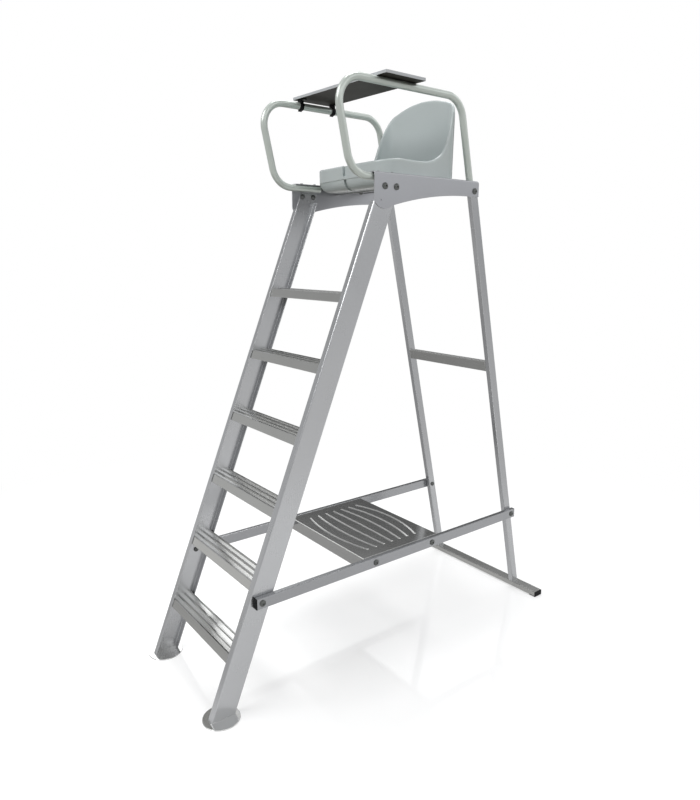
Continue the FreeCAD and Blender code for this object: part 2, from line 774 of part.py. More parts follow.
def make_clip(y):
    y0 = y - clip_width / 2
    inner = tube_radius + clip_running_gap
    outer = inner + clip_wall
    along = Vector(0, 1, 0)
    ring = Part.makeCylinder(outer, clip_width, Vector(0, y0, 0), along)
    foot_low = board_low - clip_foot
    foot = prism(rect(clip_foot_far, clip_foot_near, foot_low, board_low, 1), flat_xz(y0),
                 Vector(0, clip_width, 0))
    neck = box(-9, 11, y0, y0 + clip_width, 8, foot_low + 1)
    body = ring.fuse(neck).fuse(foot)
    lip = Part.makeCylinder(2.6, clip_width, Vector(-5.5, y0, -outer - 0.4), along)
    hook = Part.makeCylinder(2.2, clip_width, Vector(-outer - 0.2, y0, -3.5), along)
    body = body.fuse(lip).fuse(hook)
    body = body.cut(Part.makeCylinder(inner, clip_width + 2, Vector(0, y0 - 1, 0), along))
    mouth = [(0, 0, 0), (-60, -12, 0), (-60, -60, 0), (-22, -60, 0)]
    body = body.cut(prism(mouth, flat_xz(y0 - 1), Vector(0, clip_width + 2, 0)))
    for x in clip_screws:
        body = body.cut(upright(x, y, foot_low - 1, board_low + 1, 2.2))
    return tilted(max(body.Solids, key=lambda s: s.Volume))


def make_clip_screws():
    screws = []
    foot_low = board_low - clip_foot
    for y in clip_places:
        for x in clip_screws:
            head = upright(x, y, foot_low - 2.2, foot_low, 3.6)
            head = head.makeFillet(1.6, [e for e in head.Edges if e.BoundBox.ZMax < foot_low - 2])
            shank = upright(x, y, foot_low, board_low + 6.5, 1.65)
            screws.append(tilted(head.fuse(shank).removeSplitter()))
    return screws


# Fasteners
def dome(base, way, radius, height):
    """Domed head on a short rim; base is the seating point, way the outward direction."""
    rim = height * 0.3
    bulge = height - rim
    r = (radius * radius + bulge * bulge) / (2 * bulge)
    rim_part = Part.makeCylinder(radius, rim, base, way)
    ball = Part.makeSphere(r, base + way * (height - r))
    shell = Part.makeCylinder(radius, bulge + 1, base + way * rim, way)
    return rim_part.fuse(ball.common(shell)).removeSplitter()


def hex_pocket(base, way, size, depth):
    side = Vector(0, 1, 0) if abs(way.y) < 0.5 else Vector(1, 0, 0)
    up = way.cross(side)
    pts = []
    for i in range(7):
        a = math.radians(60 * i)
        pts.append(base + side * (math.cos(a) * size) + up * (math.sin(a) * size))
    return Part.Face(Part.makePolygon(pts)).extrude(way * -depth)


def bolt_set(x_head, x_tail, y, z, head, nut, radius):
    """Domed bolt from the head side inward and a domed nut at its tail, axis along X."""
    way = Vector(1, 0, 0)
    shape = dome(Vector(x_head, y, z), way, head, head_height)
    shape = shape.cut(hex_pocket(Vector(x_head + head_height + 1, y, z), way, 4.0, 5.0))
    shank = across(x_tail - nut_bore + 0.5, x_head, y, z, radius)
    bolt = shape.fuse(shank).removeSplitter()
    nut_shape = dome(Vector(x_tail, y, z), way * -1, nut, nut_height)
    nut_shape = nut_shape.cut(across(x_tail - nut_bore, x_tail + 1, y, z, radius + 0.05))
    return bolt, nut_shape


outside = half_width + plate_sheet
rail_outside = half_width + rail_width
web_inside = half_width - stile_wall
leg_inside = half_width - leg_width
joints = {
    "plate_stile": [bolt_set(outside, web_inside, y, plate_bolt_height, head_radius, nut_radius,
                             bolt_radius) for y in stile_bolts],
    "plate_leg": [bolt_set(outside, leg_inside, leg_mid(leg_bolt_height), leg_bolt_height,
                           head_radius, nut_radius, bolt_radius)],
    "rail_stile": [bolt_set(rail_outside, web_inside, rail_front_bolt, rail_middle, head_radius,
                            nut_radius, bolt_radius)],
    "rail_leg": [bolt_set(rail_outside, leg_inside, leg_mid(rail_middle), rail_middle, head_radius,
                          nut_radius, bolt_radius)],
    "rail_shelf": [bolt_set(rail_outside, half_width - shelf_sheet, y, rail_middle, head_radius,
                            nut_radius, bolt_radius) for y in shelf_bolts],
}


def upright_bolt(x, y, z, way, length):
    """Small domed bolt, axis along Z; z is the seating height of its head."""
    up = Vector(0, 0, way)
    head = dome(Vector(x, y, z), up, small_head_radius, small_head_height)
    head = head.cut(hex_pocket(Vector(x, y, z + way * (small_head_height + 1)), up, 2.6, 3.2))
    shank = Part.makeCylinder(small_bolt_radius, length, Vector(x, y, z), up * -1)
    return head.fuse(shank).removeSplitter()


# Export
stile = make_stile()
save_pair("stile", stile)
for number in range(1, tread_count + 1):
    save("tread_" + str(number), make_tread(number))
save_pair("foot_disc", make_disc())
save_pair("rear_leg", make_leg())
save("rear_foot_bar", make_foot_bar())
save("foot_bar_caps", [make_foot_cap(), mirrored(make_foot_cap())])
save("rear_crossbar", make_crossbar())
save_pair("side_rail", make_rail())
rail_caps = [make_rail_cap(rail_front, -1), make_rail_cap(rail_rear, 1)]
save("rail_caps", rail_caps + [mirrored(c) for c in rail_caps])
save("bag_shelf", make_shelf())
save_pair("side_plate", make_side_plate())
save_pair("arm_hoop", make_hoop())
save("hoop_plugs", [make_low_plug(), mirrored(make_low_plug())])
save("hoop_inserts", [make_rear_insert(), mirrored(make_rear_insert())])
save("seat_shell", make_seat())
save("seat_strap_front", make_strap(strap_places[0]))
save("seat_strap_rear", make_strap(strap_places[1]))
save("writing_board", make_board())
save("board_clip_front", make_clip(clip_places[0]))
save("board_clip_rear", make_clip(clip_places[1]))
save("clip_screws", make_clip_screws())
for name, pairs in joints.items():
    bolts = [p[0] for p in pairs]
    nuts = [p[1] for p in pairs]
    save(name + "_bolts", bolts + [mirrored(b) for b in bolts])
    save(name + "_nuts", nuts + [mirrored(n) for n in nuts])
flange_bolts = [upright_bolt(hoop_side, y, plate_top, 1, plate_sheet + tube_radius - 2.5)
                for y in hoop_bolts]
save("hoop_bolts", flange_bolts + [mirrored(b) for b in flange_bolts])
rear_screw = upright_bolt(hoop_side, hoop_rear(plate_top), flange_low, -1,
                          plate_sheet + insert_thread - 2)
save("hoop_rear_screws", [rear_screw, mirrored(rear_screw)])
seat_bolts = []
seat_nuts = []
for y in strap_places:
    for x in (-seat_screw_side, seat_screw_side):
        seat_bolts.append(on_pan(upright_bolt(x, y, pan_wall, 1, pan_wall + strap_sheet + nut_bore - 0.5)))
        nut = dome(Vector(x, y, -strap_sheet), Vector(0, 0, -1), small_nut_radius, small_nut_height)
        nut = nut.cut(upright(x, y, -strap_sheet - nut_bore, 0, small_bolt_radius + 0.05))
        seat_nuts.append(on_pan(nut))
save("seat_bolts", seat_bolts)
save("seat_nuts", seat_nuts)
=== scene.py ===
# %% [markdown]
# A tall umpire chair: two leaning channel stiles with six ribbed treads, a raked rear frame,
# side rails with a bag shelf, a moulded bucket seat and a writing board over the arm hoops.
# The imported model is loaded and kept still. Its solids stay where they are, and this script
# gives them their finishes and adds the forms that a solid model leaves out. Lengths are in
# metres: X runs across the chair, Y from the ladder to the rear legs, and Z up.

# %% Load the imported model
import math
import bmesh
import bpy
import numpy as np
from mathutils import Matrix, Vector


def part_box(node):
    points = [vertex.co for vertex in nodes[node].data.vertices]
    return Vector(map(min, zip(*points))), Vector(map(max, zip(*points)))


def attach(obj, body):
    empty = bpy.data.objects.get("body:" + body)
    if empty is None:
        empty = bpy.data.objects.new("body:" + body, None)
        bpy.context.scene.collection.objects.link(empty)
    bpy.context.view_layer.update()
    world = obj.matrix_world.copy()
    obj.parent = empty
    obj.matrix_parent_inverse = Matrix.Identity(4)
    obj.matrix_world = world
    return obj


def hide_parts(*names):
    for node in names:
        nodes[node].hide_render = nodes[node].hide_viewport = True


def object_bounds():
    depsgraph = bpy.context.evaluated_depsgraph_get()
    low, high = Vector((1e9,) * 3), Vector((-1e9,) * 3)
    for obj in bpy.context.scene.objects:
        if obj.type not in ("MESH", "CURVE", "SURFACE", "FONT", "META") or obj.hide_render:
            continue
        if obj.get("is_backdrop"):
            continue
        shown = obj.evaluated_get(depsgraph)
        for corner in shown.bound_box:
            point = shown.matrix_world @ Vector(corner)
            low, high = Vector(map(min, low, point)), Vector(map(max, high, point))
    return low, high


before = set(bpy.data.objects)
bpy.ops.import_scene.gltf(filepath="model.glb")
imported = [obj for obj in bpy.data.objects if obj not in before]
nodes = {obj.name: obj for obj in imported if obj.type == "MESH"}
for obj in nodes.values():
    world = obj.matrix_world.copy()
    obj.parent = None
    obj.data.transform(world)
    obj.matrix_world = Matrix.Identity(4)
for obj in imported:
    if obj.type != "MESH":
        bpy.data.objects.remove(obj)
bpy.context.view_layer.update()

# %% [markdown]
# The camera stands where the photographer's did. Its place, turn and focal length were solved
# from straight edges of the chair, so that the lines of the render fall on those of the
# photograph. The long side of the 700 x 800 picture is the upright one.


# %% Camera
def placed(name, data):
    """A new object that holds the data, linked into the scene."""
    piece = bpy.data.objects.new(name, data)
    bpy.context.scene.collection.objects.link(piece)
    return piece


view_place = Vector((2.11665, -1.63343, 1.58518))
view_turn, view_dip = 52.538, 12.277
focal_pixels, picture_tall = 648.465, 800

camera_data = bpy.data.cameras.new("chair_view")
camera_data.sensor_width = 36.0
camera_data.lens = focal_pixels / picture_tall * camera_data.sensor_width
camera = placed("chair_view", camera_data)
camera.location = view_place
camera.rotation_euler = (math.radians(90 - view_dip), 0, math.radians(view_turn))
bpy.context.scene.camera = camera
print("lens:", round(camera_data.lens, 3), "mm")

# %% [markdown]
# Shader maths reads best as sums. A Wire holds one output socket, and adding or multiplying
# wires adds the Math nodes. A Shading is a node tree under construction: node() makes any node
# from its type, its settings and the values of its sockets. A Finish is the Shading of one
# material.


# %% Wires and finishes
class Wire:
    """One output socket, whose sums and products are Math nodes of its own tree."""

    def __init__(self, shading, socket):
        self.shading = shading
        self.socket = socket

    def maths(self, operation, a, b=0.0):
        return self.shading.node("ShaderNodeMath", {"operation": operation}, {0: a, 1: b})

    def __add__(self, other):
        return self.maths("ADD", self, other)

    def __sub__(self, other):
        return self.maths("SUBTRACT", self, other)

    def __rsub__(self, other):
        return self.maths("SUBTRACT", other, self)

    def __mul__(self, other):
        return self.maths("MULTIPLY", self, other)

    def __truediv__(self, other):
        return self.maths("DIVIDE", self, other)

    def fraction(self):
        return self.maths("FRACT", self)

    def clamped(self):
        wire = self.maths("ADD", self, 0.0)
        wire.socket.node.use_clamp = True
        return wire

    __radd__ = __add__


class Shading:
    """A node tree, and the few kinds of node that every shader here needs."""

    def __init__(self, tree):
        self.tree = tree

    def node(self, kind, settings=None, sockets=None, out=0):
        made = self.tree.nodes.new(kind)
        for key, value in (settings or {}).items():
            setattr(made, key, value)
        for key, value in (sockets or {}).items():
            if isinstance(value, Wire):
                self.tree.links.new(value.socket, made.inputs[key])
            else:
                made.inputs[key].default_value = value
        return Wire(self, made.outputs[out])

    def measure(self, operation, a, b=(0, 0, 0)):
        """One number from vectors: a length, a distance or a dot product."""
        return self.node("ShaderNodeVectorMath", {"operation": operation}, {0: a, 1: b}, out="Value")

    def part(self, vector, axis):
        return self.node("ShaderNodeSeparateXYZ", {}, {0: vector}, out=axis)

    def mix(self, share, a, b):
        return self.node("ShaderNodeMix", {"data_type": "RGBA"}, {0: share, 6: a, 7: b}, out=2)

    def eased(self, value, start, end, low=0.0, high=1.0):
        """A smooth step from low to high while the value goes from start to end."""
        return self.node("ShaderNodeMapRange", {"interpolation_type": "SMOOTHSTEP"},
                         {"Value": value, "From Min": start, "From Max": end,
                          "To Min": low, "To Max": high})

    def show(self, shader, output):
        self.tree.links.new(shader.socket, self.tree.nodes[output].inputs["Surface"])


class Finish(Shading):
    """The shading of one material: its shader, and the nodes that feed it."""

    def __init__(self, name, **plain):
        self.material = bpy.data.materials.new(name)
        self.material.use_nodes = True
        super().__init__(self.material.node_tree)
        self.shader = self.tree.nodes["Principled BSDF"]
        for socket, value in plain.items():
            self.shader.inputs[socket.replace("_", " ")].default_value = value

    def place(self, scale=(1, 1, 1), turn=(0, 0, 0)):
        """Coordinates in metres, turned and scaled."""
        point = self.node("ShaderNodeTexCoord", out="Object")
        return self.node("ShaderNodeMapping", {}, {"Vector": point, "Rotation": turn, "Scale": scale})

    def surface(self, output, axis):
        """One part of where the surface is (Object) or of the way it faces (Normal)."""
        return self.part(self.node("ShaderNodeTexCoord", out=output), axis)

    def noise(self, point, scale, detail=3.0):
        return self.node("ShaderNodeTexNoise", {}, {"Vector": point, "Scale": scale, "Detail": detail})

    def edges(self, radius):
        """Near 1 along edges sharper than the bevel radius and 0 on flats, and the soft normal."""
        soft = self.node("ShaderNodeBevel", {"samples": 8}, {"Radius": radius})
        flat = self.node("ShaderNodeNewGeometry", out="Normal")
        return ((1 - self.measure("DOT_PRODUCT", soft, flat)) * 3.0).clamped(), soft

    def bump(self, height, strength, soft=None, distance=0.0003):
        sockets = {"Strength": strength, "Distance": distance, "Height": height}
        if soft is not None:
            sockets["Normal"] = soft
        return self.node("ShaderNodeBump", {}, sockets)

    def feed(self, **wires):
        for socket, wire in wires.items():
            self.tree.links.new(wire.socket, self.shader.inputs[socket.replace("_", " ")])
        return self.material


def rgb(r, g, b):
    return (r, g, b, 1.0)


print("shader helpers ready")

# %% [markdown]
# The stiles, treads, legs and rails are satin anodised aluminium extrusions. Drawing leaves
# very fine lines along each length, and the anodised skin has a faint sparkle. Sharp edges get a
# painted highlight, a pale line mixed into the colour. One function makes the finish for any
# direction of drawing, because noise stretched along the wrong axis would look like a sanded sheet.


# %% Anodised aluminium
def anodised(name, turn, stretch, tone=(0.52, 0.525, 0.535), rough=0.28, edge_highlight=0.7, bevel=0.0018):
    finish = Finish(name, Metallic=1.0, IOR=1.5)
    flat = finish.place()
    lines = finish.noise(finish.place(stretch, turn), 900.0, 2.0)
    sparkle = finish.noise(flat, 1400.0, 1.0)
    cloud = finish.noise(flat, 7.0, 4.0)
    edge_wear_and_highlight, soft = finish.edges(bevel)
    dark = rgb(*(c * 0.90 for c in tone))
    light = rgb(*(c * 1.10 for c in tone))
    colour = finish.mix(lines * 0.25 + cloud * 0.35 + sparkle * 0.4, dark, light)
    # painted highlight: sharp edges are mixed toward pale grey, standing in for light caught along them
    colour = finish.mix(edge_wear_and_highlight * edge_highlight, colour, rgb(0.92, 0.92, 0.92))
    roughness = rough - 0.05 + cloud * 0.08 + lines * 0.02 - edge_wear_and_highlight * 0.06
    bump = finish.bump(lines * 0.4 + sparkle * 0.6, 0.025, soft)
    return finish.feed(Base_Color=colour, Roughness=roughness, Normal=bump)


stile_lean = math.radians(21.9)
leg_rake = math.radians(-12.57)
level = (0, 0, 0)
drawn_up, drawn_across, drawn_along = (1, 1, 0.02), (0.02, 1, 1), (1, 0.02, 1)
aluminium = {
    "stile": anodised("anodised_stile", (stile_lean, 0, 0), drawn_up),
    "leg": anodised("anodised_leg", (leg_rake, 0, 0), drawn_up,
                    tone=(0.46, 0.465, 0.475), rough=0.26, edge_highlight=0.8, bevel=0.0011),
    "across": anodised("anodised_across", level, drawn_across,
                       tone=(0.42, 0.42, 0.41), rough=0.22, edge_highlight=0.9, bevel=0.0012),
    "rail": anodised("anodised_rail", level, drawn_along,
                     tone=(0.35, 0.355, 0.365), rough=0.22, edge_highlight=0.5, bevel=0.0007),
    "plate": anodised("anodised_plate", level, (1, 0.05, 1), tone=(0.44, 0.445, 0.465), rough=0.32),
}
print("aluminium finishes:", len(aluminium))

# %% [markdown]
# The treads have a finish of their own: shoes polish the tops of the ribs smoother, and the colour
# carries a painted reflection, with rib tops painted darker and groove floors painted pale. All six are
# one material: the height within one pitch of the ladder tells a rib's top from the groove beside it.


# %% Ribbed treads
top_tread, tread_pitch = 1.465, 0.248
level_slack, groove_start = 0.0005, 0.002


def ribbed_tread_painted_bands():
    """Smooth rib tops painted darker and rougher groove floors painted pale, a painted reflection, and
    plain satin fronts with a painted highlight on their edges.
    """
    finish = Finish("ribbed_tread_painted_bands", Metallic=1.0, IOR=1.5)
    lines = finish.noise(finish.place(drawn_across), 900.0, 2.0)
    cloud = finish.noise(finish.place(), 9.0, 4.0)
    edge_wear_and_highlight = finish.edges(0.0008)[0]
    upper = ((finish.surface("Normal", "Z") - 0.7) * 6.0).clamped()
    below_top = top_tread + level_slack - finish.surface("Object", "Z")
    drop = (below_top / tread_pitch).fraction() * tread_pitch
    groove = ((drop - groove_start) * 1000.0).clamped()
    # painted reflection: rib tops are painted darker and groove floors near white, standing in for the
    # dark and bright bands the ribs mirror
    top = finish.mix(groove, rgb(0.46, 0.46, 0.455), rgb(0.95, 0.95, 0.93))
    front = finish.mix(cloud * 0.6 + lines * 0.4, rgb(0.48, 0.48, 0.465), rgb(0.56, 0.56, 0.545))
    colour = finish.mix(upper, front, top)
    # painted highlight: sharp edges of the fronts are mixed toward pale grey
    colour = finish.mix(edge_wear_and_highlight * (1 - upper) * 0.5, colour, rgb(0.92, 0.92, 0.91))
    roughness = 0.11 + lines * 0.03 + upper * (groove * 0.16 - 0.05)
    return finish.feed(Base_Color=colour, Roughness=roughness, Normal=finish.bump(lines, 0.02))


aluminium["tread"] = ribbed_tread_painted_bands()
print("ribbed treads of pitch", tread_pitch)

# %% [markdown]
# The remaining finishes: a polished foot disc, the dark glossy shelf sheet, the pale enamel of
# the hoops, the blue-grey seat moulding, the board's laminate, black moulded plastic and dark
# coated fasteners. The shelf's front fold is rougher than its top and carries a painted highlight:
# its colour, and that of the sharp edges, is mixed toward near white. The board is painted dark
# underneath, a painted shade, and is pale above.


# %% Other finishes
fold_line = -0.138


def polished_disc():
    finish = Finish("polished_disc", Metallic=1.0)
    flat = finish.place()
    cloud = finish.noise(flat, 30.0)
    scuff = finish.noise(flat, 260.0, 2.0)
    edge_wear_and_highlight, soft = finish.edges(0.001)
    colour = finish.mix(cloud, rgb(0.74, 0.74, 0.73), rgb(0.80, 0.80, 0.79))
    roughness = 0.05 + cloud * 0.06 + scuff * 0.04 + edge_wear_and_highlight * 0.1
    return finish.feed(Base_Color=colour, Roughness=roughness, Normal=finish.bump(scuff, 0.03, soft))


def shelf_sheet():
    finish = Finish("shelf_sheet", Metallic=1.0)
    cloud = finish.noise(finish.place(), 9.0, 4.0)
    grain = finish.noise(finish.place((0.03, 1, 1)), 700.0, 2.0)
    edge_wear_and_highlight, soft = finish.edges(0.0025)
    ahead = ((fold_line - finish.surface("Object", "Y")) * 300.0).clamped()
    slant = finish.surface("Normal", "Y") * finish.surface("Normal", "Z")
    fold_highlight = (slant * -4.0 - 0.3).clamped() * ahead
    colour = finish.mix(cloud * 0.6 + grain * 0.4, rgb(0.50, 0.50, 0.49), rgb(0.55, 0.55, 0.54))
    # painted highlight: the front fold and sharp edges are mixed toward near white
    colour = finish.mix((edge_wear_and_highlight + fold_highlight).clamped(), colour, rgb(0.95, 0.95, 0.93))
    roughness = 0.09 + cloud * 0.05 + grain * 0.03 + fold_highlight * 0.25
    bump = finish.bump(grain, 0.05, soft, 0.0004)
    return finish.feed(Base_Color=colour, Roughness=roughness, Normal=bump)


def painted_tube():
    finish = Finish("painted_tube", Metallic=0.45, Coat_Weight=0.4, Coat_Roughness=0.08)
    flat = finish.place()
    peel = finish.noise(flat, 420.0, 2.0)
    cloud = finish.noise(flat, 14.0)
    colour = finish.mix(cloud, rgb(0.54, 0.585, 0.545), rgb(0.60, 0.645, 0.605))
    bump = finish.bump(peel, 0.08, distance=0.0004)
    return finish.feed(Base_Color=colour, Roughness=0.27 + cloud * 0.08, Normal=bump)


def seat_plastic():
    finish = Finish("seat_plastic", Metallic=0.0, IOR=1.5, Coat_Weight=0.2, Coat_Roughness=0.08)
    flat = finish.place()
    cloud = finish.noise(flat, 6.0)
    skin = finish.noise(flat, 900.0, 2.0)
    colour = finish.mix(cloud, rgb(0.50, 0.55, 0.55), rgb(0.53, 0.58, 0.58))
    return finish.feed(Base_Color=colour, Roughness=0.24 + skin * 0.05, Normal=finish.bump(skin, 0.05))


def board_laminate():
    finish = Finish("board_laminate", Metallic=0.0, IOR=1.5, Specular_IOR_Level=0.12)
    flat = finish.place()
    cloud = finish.noise(flat, 12.0, 4.0)
    skin = finish.noise(flat, 1100.0, 2.0)
    pale = ((finish.surface("Normal", "Z") + 0.7) * 4.0).clamped()
    # painted shade: faces turned down get a near-black colour, standing in for the shade under the board
    shaded_underside = finish.mix(cloud, rgb(0.042, 0.040, 0.034), rgb(0.058, 0.055, 0.048))
    top = finish.mix(cloud, rgb(0.52, 0.54, 0.56), rgb(0.58, 0.60, 0.62))
    colour = finish.mix(pale, shaded_underside, top)
    return finish.feed(Base_Color=colour, Roughness=0.48 + cloud * 0.12, Normal=finish.bump(skin, 0.06))


def black_plastic():
    finish = Finish("black_plastic", Metallic=0.0, IOR=1.5, Specular_IOR_Level=0.12)
    texture = finish.noise(finish.place(), 1600.0, 2.0)
    edge_wear_and_highlight, soft = finish.edges(0.0008)
    colour = finish.mix(edge_wear_and_highlight, rgb(0.006, 0.006, 0.007), rgb(0.028, 0.028, 0.029))
    bump = finish.bump(texture, 0.25, soft)
    return finish.feed(Base_Color=colour, Roughness=0.42 + texture * 0.15, Normal=bump)


def dark_steel(name, low, high, rough):
    finish = Finish(name, Metallic=0.85)
    cloud = finish.noise(finish.place(), 120.0)
    edge_wear_and_highlight, soft = finish.edges(0.0007)
    colour = finish.mix(cloud, rgb(*low), rgb(*high))
    colour = finish.mix(edge_wear_and_highlight * 0.6, colour, rgb(0.42, 0.42, 0.42))
    bump = finish.bump(cloud, 0.1, soft, 0.0002)
    return finish.feed(Base_Color=colour, Roughness=rough + cloud * 0.15, Normal=bump)


disc_finish = polished_disc()
shelf_finish = shelf_sheet()
tube_finish = painted_tube()
seat_finish = seat_plastic()
board_finish = board_laminate()
black_finish = black_plastic()
bolt_finish = dark_steel("dark_fasteners", (0.10, 0.105, 0.10), (0.17, 0.175, 0.17), 0.3)
insert_finish = dark_steel("turned_insert", (0.35, 0.35, 0.34), (0.48, 0.48, 0.47), 0.35)
print("finishes:", len(bpy.data.materials))

# %% [markdown]
# Each solid takes its finish by the start of its name, so that left and right pieces and
# numbered treads need one line. Every name that isn't listed is a fastener.

# %% Finishes on the solids
worn_by = {
    "stile": aluminium["stile"], "tread": aluminium["tread"], "foot_disc": disc_finish,
    "rear_leg": aluminium["leg"], "rear_foot_bar": aluminium["across"], "foot_bar_caps": black_finish,
    "rear_crossbar": aluminium["across"], "side_rail": aluminium["rail"], "rail_caps": black_finish,
    "bag_shelf": shelf_finish, "side_plate": aluminium["plate"], "arm_hoop": tube_finish,
    "hoop_plugs": black_finish, "hoop_inserts": insert_finish, "seat_shell": seat_finish,
    "seat_strap": aluminium["across"], "writing_board": board_finish, "board_clip": black_finish,
}
for name, node in nodes.items():
    key = next((k for k in worn_by if name.startswith(k)), None)
    node.data.materials.clear()
    node.data.materials.append(worn_by[key] if key else bolt_finish)
print("solids finished:", len(nodes))

# %% [markdown]
# The seat is one hollow plastic moulding: a shallow tub on a rounded belly, with wings that
# sweep up into an arched back and a rolled rim all round. The solid has the same plan, but its
# rim is cut square. A mesh of rings, each one following the plan at its own height, gives the
# rolled rim and soft inside corners, and a subdivision surface smooths what is between. A
# sculpted mesh could look the same but would drift from the solid it stands for.
#
# Its sizes follow the solid's, and the fillet in the pan and the step under the ledge are the
# mesh's own. Here Y starts at the front corner of the stiles on the floor, and chair_middle
# moves it to the frame. The pairs of the rim and the belly are in mm.

# %% Seat sizes
chair_middle = 0.82525
seat_front, seat_rear = 0.785, 1.195
seat_half, seat_rear_half = 0.242, 0.218
front_bow, rear_bow, bow_radius = 0.019, 0.003, 0.8
waist, waist_turn = 0.975, 0.3
flank, flank_turn = 1.058, 0.26
front_corner, rear_corner = 0.085, 0.062
seat_ledge = 1.888
pan_low, pan_deep, pan_rise = 1.8475, 0.830, 0.107
pan_fillet = 0.034
seat_wall = 0.014
back_flare = 0.006
rim_level, rim_top = 1.944, 0.2785
belly_front, belly_side = 0.0015, 0.008
ledge_step = 0.0012
front_rim = ((-60, -16), (0, -5), (45, 0.5), (83, 2.6), (122, 0.8), (165, 0.2), (190, 0.9))
back_rim = ((0, 278.5), (75, 271.5), (125, 260), (158, 250), (175, 242.5), (187, 232), (200, 215),
            (215, 186), (230, 153), (244, 116), (255, 87), (267, 60), (282, 39), (300, 26.5),
            (325, 15.5), (350, 8.5), (380, 3.5), (405, 0.9), (430, 0.2))
belly_rings = ((0, 0), (14, 2.5), (28, 9), (38, 18), (44, 34))
print("seat plan:", round(2 * seat_half, 3), "x", round(seat_rear - seat_front, 3), "m")

# %% [markdown]
# Every ring has the same number of points in the same order, whatever its size, so that
# neighbouring rings can be joined point to point. That is why the steps of each arc and of each
# straight run are fixed.

# %% Seat outline
arc_steps = (20, 12, 6, 6, 12, 4, 12, 6, 6, 12)
run_steps = (5, 4, 2, 5, 8, 8, 5, 2, 4, 5)
front_middle = arc_steps[0] // 2


def rounded_line(corners):
    """Points round a closed outline of (x, y, radius) corners, always in the same number."""
    count = len(corners)
    spots = [Vector((a, b)) for a, b, turn in corners]
    ends = []
    for i, (a, b, turn) in enumerate(corners):
        back = (spots[i - 1] - spots[i]).normalized()
        ahead = (spots[(i + 1) % count] - spots[i]).normalized()
        half = back.angle(ahead) / 2
        centre = spots[i] + (back + ahead).normalized() * (turn / math.sin(half))
        reach = turn / math.tan(half)
        ends.append((spots[i] + back * reach, centre, spots[i] + ahead * reach))
    line = []
    for i in range(count):
        first, centre, last = ends[i]
        start = first - centre
        angle = start.angle_signed(last - centre)
        for k in range(arc_steps[i] + 1):
            turned = start.copy()
            turned.rotate(Matrix.Rotation(-angle * k / arc_steps[i], 2))
            line.append(centre + turned)
        following = ends[(i + 1) % count][0]
        for k in range(1, run_steps[i]):
            line.append(last.lerp(following, k / run_steps[i]))
    return np.array([tuple(p) for p in line])


def seat_ring(inset, side=0.0, corner=front_corner):
    """The seat's plan, drawn in by inset all round and by side on the flanks and the back."""
    wide = seat_half - inset - side
    rear_wide = seat_rear_half - inset - side
    front = seat_front + inset
    rear = seat_rear - inset - side
    near = [(wide, front + front_bow, corner - inset), (wide, waist, waist_turn),
            (rear_wide, flank, flank_turn), (rear_wide, rear - rear_bow, rear_corner - inset)]
    far = [(-x, y, turn) for x, y, turn in reversed(near)]
    return rounded_line([(0, front, bow_radius)] + near + [(0, rear, bow_radius)] + far)


outer_plan = seat_ring(0)
turned = np.roll(outer_plan, -1, axis=0) - np.roll(outer_plan, 1, axis=0)
outward = np.stack([turned[:, 1], -turned[:, 0]], axis=1)
outward /= np.linalg.norm(outward, axis=1)[:, None]
print("points round the plan:", len(outer_plan))

# %% [markdown]
# The rim has two laws: along the flanks its height goes by the distance from the front, and
# round the back by the distance from the middle of the back. They blend over a short stretch
# where both are nearly level.

# %% Seat heights
blend_start, blend_length = 0.94, 0.04
rim_inset = 0.004


def smooth_curve(value, pairs):
    """Smooth height through (distance, height) pairs, with slopes taken from the neighbours."""
    x = np.array([p[0] for p in pairs], float)
    y = np.array([p[1] for p in pairs], float)
    slope = np.gradient(y, x)
    i = np.clip(np.searchsorted(x, value) - 1, 0, len(x) - 2)
    step = x[i + 1] - x[i]
    t = np.clip((value - x[i]) / step, 0, 1)
    return ((2 * t ** 3 - 3 * t ** 2 + 1) * y[i] + (t ** 3 - 2 * t ** 2 + t) * step * slope[i]
            + (3 * t ** 2 - 2 * t ** 3) * y[i + 1] + (t ** 3 - t ** 2) * step * slope[i + 1])


def rim_height(x, y):
    """Height of the rim over a point of the plan: level on the flanks, rising round the back."""
    middle = seat_wall / 2 - back_flare / 2
    turn = rear_corner - middle
    flat = seat_rear_half - middle - turn
    hub = seat_rear - rear_bow - middle - turn
    x = abs(x)
    if y > hub:
        way = x if x < flat else flat + turn * math.atan2(x - flat, y - hub)
    else:
        way = flat + turn * math.pi / 2 + hub - y
    behind = smooth_curve(way * 1000, back_rim)
    ahead = smooth_curve((y - seat_front) * 1000, front_rim)
    share = min(1.0, max(0.0, (y - blend_start) / blend_length))
    return rim_level + (ahead + (behind - ahead) * share * share * (3 - 2 * share)) / 1000


rim_heights = np.array([rim_height(x, y) for x, y in outer_plan - outward * rim_inset])
print("rim from", round(rim_heights.min(), 4), "to", round(rim_heights.max(), 4))

# %% [markdown]
# The rings run from the middle of the pan's upper side out through its fillet, up the inner
# wall, over the rolled rim, down the outer wall, round the belly and back to the middle below.

# %% Seat rings
arc_rings = 7


def at_height(plan, heights):
    return np.column_stack([plan, np.broadcast_to(heights, len(plan))])


def pan_height(plan, lift=0.0):
    return pan_low + lift + pan_rise * (plan[:, 1] - pan_deep)


def shrunk(plan, share):
    middle = (plan.max(axis=0) + plan.min(axis=0)) / 2
    return middle + (plan - middle) * share


def between(first, last, shares):
    return [first + (last - first) * share for share in shares]


def pan_rings():
    """The upper side of the pan and the fillet that turns up into the inner wall."""
    floor = seat_ring(seat_wall + pan_fillet)
    plans = [shrunk(floor, share) for share in (0.08, 0.25, 0.45, 0.65, 0.85)]
    rings = [at_height(plan, pan_height(plan, seat_wall)) for plan in plans]
    for k in range(arc_rings):
        angle = math.pi / 2 * (1 - k / (arc_rings - 1))
        plan = seat_ring(seat_wall + pan_fillet * (1 - math.cos(angle)))
        height = pan_height(plan, seat_wall) + pan_fillet * (1 - math.sin(angle))
        rings.append(at_height(plan, height))
    return rings


